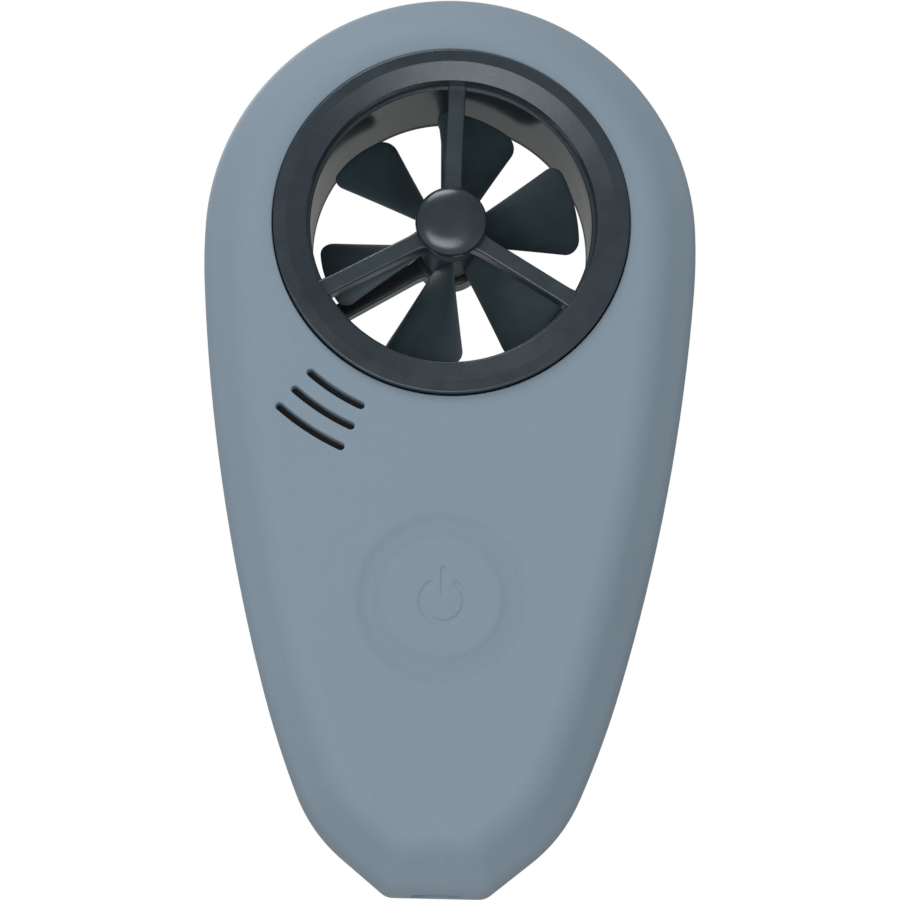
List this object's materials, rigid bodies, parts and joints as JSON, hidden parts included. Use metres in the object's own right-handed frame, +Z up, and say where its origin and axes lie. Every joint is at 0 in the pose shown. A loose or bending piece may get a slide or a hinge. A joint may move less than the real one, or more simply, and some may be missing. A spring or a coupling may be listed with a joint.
{
  "type": "handheld vane weather meter",
  "caption": "Pocket weather meter with a teardrop body, a through duct with a vaned impeller, side sensor slots, a round push button and a tripod socket in the foot.",
  "frame": {"origin": "centre of the foot's underside, on the tripod socket's axis (bounding box bottom centre)", "axes": "+Z up the body from the foot to the duct, -Y the front face with the button, +X to the right seen from the front"},
  "size_m": [0.0672, 0.022, 0.1235],
  "materials": {
    "body": "soft-touch matte",
    "black_plastic": "satin moulded",
    "blade_plastic": "satin moulded",
    "button_rubber": "soft matte",
    "seal_rubber": "matte",
    "foam": "open-cell foam",
    "brass": "turned",
    "steel": "bright",
    "zinc_screw": "zinc plated",
    "board": "solder-masked laminate",
    "chip": "moulded epoxy",
    "cell_sleeve": "printed sleeve",
    "holder_nylon": "moulded",
    "membrane": "expanded PTFE film",
    "flex": "polyimide"
  },
  "bodies": {
    "body": {"front_shell": "body", "rear_shell": "body", "shell_gasket": "seal_rubber", "duct_front": "black_plastic", "duct_rear": "black_plastic", "duct_seal_front": "seal_rubber", "duct_seal_rear": "seal_rubber", "front_bearing": "brass", "rear_bearing": "brass", "hall_sensor": "chip", "hall_flex": "flex", "tact_switch": "steel", "main_pcb": "board", "radio_module": "board", "radio_shield": "steel", "controller_chip": "chip", "pressure_sensor": "steel", "humidity_sensor": "chip", "sensor_gasket": "foam", "vent_membrane": "membrane", "battery_holder": "holder_nylon", "battery_cell": "cell_sleeve", "battery_spring": "steel", "negative_contact": "steel", "positive_contact": "steel", "door_seal": "seal_rubber", "tripod_insert": "brass", "case_screw_1": "zinc_screw", "case_screw_2": "zinc_screw", "case_screw_3": "zinc_screw", "case_screw_4": "zinc_screw", "pcb_screw_1": "zinc_screw", "pcb_screw_2": "zinc_screw", "pcb_screw_3": "zinc_screw"},
    "rotor": {"impeller": "blade_plastic", "impeller_shaft": "steel", "impeller_magnet": "steel"},
    "button": {"power_button": "button_rubber", "switch_plunger": "blade_plastic"},
    "door": {"battery_door": "body", "battery_pad": "foam"}
  },
  "joints": [
    {"name": "impeller_spin", "type": "hinge", "parent": "body", "child": "rotor", "pos_m": [0, 0, 0.09015], "axis": [0, 1, 0], "continuous": true},
    {"name": "button_press", "type": "slide", "parent": "body", "child": "button", "axis": [0, 1, 0], "range_m": [0, 0.0005]},
    {"name": "door_open", "type": "hinge", "parent": "body", "child": "door", "pos_m": [0, 0.0091, 0.0137], "axis": [-1, 0, 0], "range_deg": [0, 95]}
  ]
}
